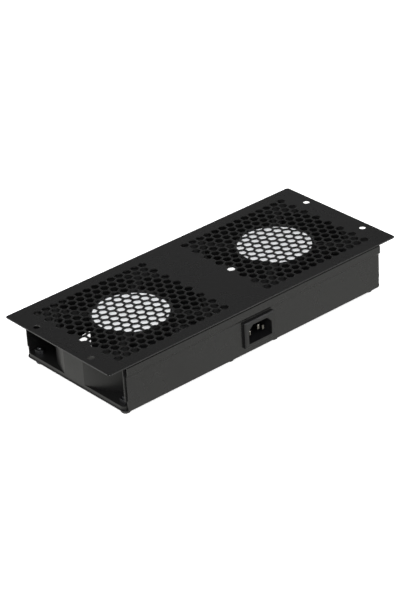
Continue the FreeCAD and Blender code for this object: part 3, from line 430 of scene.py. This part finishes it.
for side in SIDES:
    low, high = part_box("finger_guard_" + side)
    axis = Vector((fan_x[side], 0, 0))
    arm_level = high.z - ARM_WIRE / 2
    ring_level = low.z + RING_WIRE / 2
    guard = bmesh.new()
    for radius in RING_RADII:
        wire_ring(guard, axis + Vector((0, 0, ring_level)), radius, RING_WIRE,
                  steps=max(RING_STEPS_LEAST, round(radius / MM * RING_STEPS_PER_MM)))
    for sx, sy in CORNERS:
        corner = Vector((sx * HOLE_OFFSET, sy * HOLE_OFFSET, arm_level))
        wire_ring(guard, axis + corner, EYE_RADIUS, ARM_WIRE, steps=EYE_STEPS)
        outward = Vector((corner.x, corner.y, 0)).normalized()
        near = axis + Vector((0, 0, arm_level)) + outward * RING_RADII[0] * 0.9
        far = axis + corner - outward * (EYE_RADIUS - ARM_WIRE / 4)
        wire_rod(guard, near, far, ARM_WIRE)
    piece = finish_piece(guard, "wire_guard_" + side, nickel_wire, smooth_angle=60)
    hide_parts("finger_guard_" + side)

# %% [markdown]
# ## Fan screws
#
# A pan-head machine screw holds each corner of a fan from below, through a washer and the guard's
# eye. Its head has a domed rim and a cross recess, and the end of its thread shows past the nut.
# Head, washer and thread are one profile, turned once round the screw's axis. The thread is drawn
# as plain ridges, because their slope can't be seen at this size.

# %% Pan-head screws
HEAD_RADIUS = 4.0 * MM
WASHER_RADIUS = 4.5 * MM
THREAD_RADIUS = 2.0 * MM
THREAD_PITCH = 0.7 * MM
THREAD_DEPTH = 0.3 * MM
RIM = 0.1 * MM
RECESS_LEVEL = 0.02 * MM
TURN_STEPS = 28


def screw_profile(foot, top, head_height, washer_top):
    """(radius, height) points from the middle of the head's underside to the tip of the thread."""
    points = [(1.9 * MM, foot + RECESS_LEVEL), (2.6 * MM, foot + 0.1 * MM),
              (3.3 * MM, foot + 0.45 * MM), (3.75 * MM, foot + 0.95 * MM),
              (HEAD_RADIUS, foot + 1.6 * MM), (HEAD_RADIUS, foot + head_height),
              (WASHER_RADIUS - RIM, foot + head_height), (WASHER_RADIUS, foot + head_height + RIM),
              (WASHER_RADIUS, washer_top - RIM), (WASHER_RADIUS - RIM, washer_top),
              (THREAD_RADIUS - THREAD_DEPTH, washer_top)]
    ridge = washer_top + THREAD_PITCH
    while ridge < top - THREAD_PITCH:
        points += [(THREAD_RADIUS - THREAD_DEPTH, ridge - 0.4 * THREAD_PITCH),
                   (THREAD_RADIUS, ridge - 0.06 * THREAD_PITCH),
                   (THREAD_RADIUS, ridge + 0.06 * THREAD_PITCH)]
        ridge += THREAD_PITCH
    points += [(THREAD_RADIUS - THREAD_DEPTH, top - 0.5 * THREAD_PITCH),
               (THREAD_RADIUS - 2 * THREAD_DEPTH, top), (0, top)]
    return points


def cross_recess(mesh, centre, foot):
    """A cross cut into the dome: four arms pushed up into the head from a closed cap."""
    arm, half, depth, taper = 1.7 * MM, 0.38 * MM, 1.3 * MM, 0.45
    corners = []
    for quarter in range(4):
        spin = Matrix.Rotation(quarter * math.pi / 2, 3, "Z")
        for x, y in ((half, -half), (arm, -half), (arm, half)):
            corners.append(spin @ Vector((x, y, 0)))
    cross = [mesh.verts.new(centre + c + Vector((0, 0, foot))) for c in corners]
    bottom = mesh.faces.new(cross)
    rim = list(bottom.edges)
    dug = bmesh.ops.extrude_face_region(mesh, geom=[bottom], use_keep_orig=False)
    deep = [v for v in dug["geom"] if isinstance(v, bmesh.types.BMVert)]
    bmesh.ops.translate(mesh, verts=deep, vec=(0, 0, depth))
    for vert in deep:
        offset = Vector((vert.co.x - centre.x, vert.co.y - centre.y, 0))
        vert.co -= offset * taper
    return rim


for side in SIDES:
    low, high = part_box("fan_screws_" + side)
    guard_low, guard_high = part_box("finger_guard_" + side)
    head_height = guard_low.z - low.z
    screws = bmesh.new()
    profile = screw_profile(low.z, high.z, head_height, guard_high.z - ARM_WIRE)
    for sx, sy in CORNERS:
        centre = Vector((fan_x[side] + sx * HOLE_OFFSET, sy * HOLE_OFFSET, 0))
        spin_profile(screws, profile, centre, TURN_STEPS)
        hole = [e for e in screws.edges if e.is_boundary
                and (e.verts[0].co.xy - centre.xy).length < 2.2 * MM
                and e.verts[0].co.z < low.z + 0.2 * MM]
        rim = cross_recess(screws, centre, low.z + RECESS_LEVEL)
        bmesh.ops.triangle_fill(screws, use_beauty=True, edges=hole + rim)
    piece = finish_piece(screws, "pan_head_screws_" + side, zinc, smooth_angle=28)
    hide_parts("fan_screws_" + side)

# %% [markdown]
# ## Nuts
#
# A nut clamps each corner from above. It is a hexagon whose corners are turned off at both ends,
# so each face ends in a shallow curve. Cutting the corners of the hexagon gives that look with
# few faces.

# %% Hexagon nuts
NUT_FLATS = 7 * MM
NUT_BORE = 2.05 * MM
NUT_NICK = 0.55 * MM
BORE_BEVEL = 0.25 * MM
BORE_STEPS = 24


def hexagon_nut(mesh, centre, low, high, flats, bore):
    """A nut with nicked corners and a bevelled bore, between two heights."""
    outside = flats / math.sqrt(3)
    shell = bmesh.ops.create_cone(mesh, cap_ends=False, segments=6, radius1=outside, radius2=outside,
                                  depth=high - low,
                                  matrix=Matrix.Translation(centre + Vector((0, 0, (high + low) / 2))))
    bmesh.ops.bevel(mesh, geom=shell["verts"], offset=NUT_NICK, offset_type="OFFSET",
                    segments=1, profile=0.5, affect="VERTICES", material=-1)
    for level in (low, high):
        inner = bmesh.ops.create_circle(mesh, cap_ends=False, radius=bore + BORE_BEVEL,
                                        segments=BORE_STEPS,
                                        matrix=Matrix.Translation(centre + Vector((0, 0, level))))
        ring = [e for v in inner["verts"] for e in v.link_edges]
        edge = [e for e in mesh.edges if e.is_boundary and e not in ring
                and all(abs(v.co.z - level) < 1e-7 for v in e.verts)
                and (e.verts[0].co.xy - centre.xy).length < outside * 1.01]
        bmesh.ops.triangle_fill(mesh, use_beauty=True, edges=list(set(ring)) + edge)
    spin_profile(mesh, [(bore + BORE_BEVEL, low), (bore, low + BORE_BEVEL),
                        (bore, high - BORE_BEVEL), (bore + BORE_BEVEL, high)], centre, BORE_STEPS)


for side in SIDES:
    low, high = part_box("fan_nuts_" + side)
    nuts = bmesh.new()
    for sx, sy in CORNERS:
        one = bmesh.new()
        centre = Vector((fan_x[side] + sx * HOLE_OFFSET, sy * HOLE_OFFSET, 0))
        hexagon_nut(one, centre, low.z, high.z, NUT_FLATS, NUT_BORE)
        held = bpy.data.meshes.new("nut")
        one.to_mesh(held)
        one.free()
        nuts.from_mesh(held)
        bpy.data.meshes.remove(held)
    piece = finish_piece(nuts, "hexagon_nuts_" + side, zinc)
    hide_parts("fan_nuts_" + side)

# %% [markdown]
# ## Floor
#
# The tray stands on its screw heads on a white sweep. A black satin object is lit by what it
# reflects: its front wall mirrors the white floor and looks dark grey, and its plate mirrors the
# dimmer room above and looks nearly black. So the floor glows white to every ray that can show it,
# except right under the tray. There a painted shadow darkens the floor as mirrors see it, so that
# the fans don't shine with it from inside.

# %% White floor
PAINTED_SHADOW_HALF = (125 * MM, 53 * MM, 0)
PAINTED_SHADOW_FADE = 14 * MM
PAINTED_SHADOW_LEVEL = 0.03
SEEN_LIFT = 0.8
FLOOR_HALF = 8.0
FLOOR_GAP = 0.05 * MM

floor_material, tree, output = new_material("white sweep")
rays = add_node(tree, "ShaderNodeLightPath")
mirrored = add_node(tree, "ShaderNodeMath", {"operation": "MAXIMUM"},
                    n0=rays.outputs["Is Glossy Ray"], n1=rays.outputs["Is Transmission Ray"])
place = add_node(tree, "ShaderNodeTexCoord").outputs["Object"]
folded = add_node(tree, "ShaderNodeVectorMath", {"operation": "ABSOLUTE"}, n0=place)
past = add_node(tree, "ShaderNodeVectorMath", {"operation": "SUBTRACT"}, n0=folded.outputs["Vector"],
                n1=PAINTED_SHADOW_HALF)
outside = add_node(tree, "ShaderNodeVectorMath", {"operation": "MAXIMUM"}, n0=past.outputs["Vector"],
                   n1=(0, 0, 0))
flat = add_node(tree, "ShaderNodeVectorMath", {"operation": "MULTIPLY"}, n0=outside.outputs["Vector"],
                n1=(1, 1, 0))
away = add_node(tree, "ShaderNodeVectorMath", {"operation": "LENGTH"}, n0=flat.outputs["Vector"])
# Painted shadow: under the tray the floor's glow, as glossy rays see it, fades to a dim level.
glow_with_painted_shadow = add_node(tree, "ShaderNodeMapRange", {"interpolation_type": "SMOOTHSTEP"},
                      Value=away.outputs["Value"], From_Min=0, From_Max=PAINTED_SHADOW_FADE,
                      To_Min=PAINTED_SHADOW_LEVEL, To_Max=1.0)
white = add_node(tree, "ShaderNodeEmission", Color=linear("#fffffa"),
                 Strength=glow_with_painted_shadow.outputs["Result"])
lift = add_node(tree, "ShaderNodeMath", {"operation": "MULTIPLY"}, n0=rays.outputs["Is Camera Ray"],
                n1=SEEN_LIFT)
seen = add_node(tree, "ShaderNodeEmission", Color=(1, 1, 1, 1), Strength=lift.outputs["Value"])
paper = add_node(tree, "ShaderNodeBsdfDiffuse", Color=linear("#f4f4f4"))
both = add_node(tree, "ShaderNodeAddShader", n0=seen.outputs["Emission"], n1=paper.outputs["BSDF"])
sweep = add_node(tree, "ShaderNodeMixShader", n0=mirrored.outputs["Value"], n1=both.outputs["Shader"],
                 n2=white.outputs["Emission"])
tree.links.new(sweep.outputs["Shader"], output.inputs["Surface"])

ground = bmesh.new()
bmesh.ops.create_grid(ground, x_segments=1, y_segments=1, size=FLOOR_HALF,
                      matrix=Matrix.Translation((0, 0, cad_box[0][2] - FLOOR_GAP)))
ground_data = bpy.data.meshes.new("floor")
ground.to_mesh(ground_data)
ground.free()
ground_data.materials.append(floor_material)
floor = bpy.data.objects.new("floor", ground_data)
bpy.context.scene.collection.objects.link(floor)
print("floor at z =", round(cad_box[0][2] / MM, 2), "mm")

# %% [markdown]
# ## World and lamps
#
# The room is bright at the horizon and falls off to a dim ceiling, and the camera itself sees
# plain white. A faint panel hangs where the middle of the plate mirrors it. Three square lamps
# give the rest: a strong one from the front left, and two weak ones that draw a thin line of
# light along the front edge and the left edge of the plate.

# %% World and lamps
HORIZON_HEIGHT, CEILING_HEIGHT = 0.05, 0.4
HORIZON_LEVEL, CEILING_LEVEL = 0.9, 0.04
PANEL_LEVEL = 0.25
PANEL_EDGE = math.radians(10)
PANEL_CORE = math.radians(1)

world = bpy.data.worlds.new("studio")
world.use_nodes = True
bpy.context.scene.world = world
tree = world.node_tree
tree.nodes.clear()
output = tree.nodes.new("ShaderNodeOutputWorld")
direction = add_node(tree, "ShaderNodeTexCoord").outputs["Generated"]
height = add_node(tree, "ShaderNodeSeparateXYZ", Vector=direction)
fade = add_node(tree, "ShaderNodeMapRange", {"interpolation_type": "SMOOTHSTEP"},
                Value=height.outputs["Z"], From_Min=HORIZON_HEIGHT, From_Max=CEILING_HEIGHT,
                To_Min=HORIZON_LEVEL, To_Max=CEILING_LEVEL)
rays = add_node(tree, "ShaderNodeLightPath")
level = add_node(tree, "ShaderNodeMix", {"data_type": "FLOAT"}, n0=rays.outputs["Is Camera Ray"],
                 n2=fade.outputs["Result"], n3=1.0)
panel = Vector((math.sin(AZIMUTH), math.cos(AZIMUTH), math.tan(ELEVATION))).normalized()
toward = add_node(tree, "ShaderNodeVectorMath", {"operation": "DOT_PRODUCT"}, n0=direction, n1=panel)
glow = add_node(tree, "ShaderNodeMapRange", {"interpolation_type": "SMOOTHSTEP"},
                Value=toward.outputs["Value"], From_Min=math.cos(PANEL_EDGE),
                From_Max=math.cos(PANEL_CORE), To_Min=0, To_Max=PANEL_LEVEL)
ambient = add_node(tree, "ShaderNodeMath", {"operation": "ADD"}, n0=level.outputs[0],
                   n1=glow.outputs["Result"])
sky = add_node(tree, "ShaderNodeBackground", Color=(1, 1, 1, 1), Strength=ambient.outputs["Value"])
tree.links.new(sky.outputs["Background"], output.inputs["Surface"])


def softbox(name, place, size, watts):
    """A square area lamp that faces the middle of the tray."""
    lamp = bpy.data.lights.new(name, "AREA")
    lamp.shape = "SQUARE"
    lamp.size = size
    lamp.energy = watts
    thing = bpy.data.objects.new(name, lamp)
    bpy.context.scene.collection.objects.link(thing)
    facing = (-Vector(place)).to_track_quat("-Z", "Y")
    thing.matrix_world = Matrix.Translation(place) @ facing.to_matrix().to_4x4()


softbox("key", (-1.1, -1.34, 1.36), 0.9, 56)
softbox("front edge", (1.1, -0.98, 1.35), 0.8, 7)
softbox("end edge", (-1.0, 1.37, 1.12), 0.8, 10)
print("world and lamps ready")

# %% [markdown]
# ## View settings
#
# The standard view shows the rendered colours as they are.

# %% View settings
bpy.context.scene.view_settings.view_transform = "Standard"
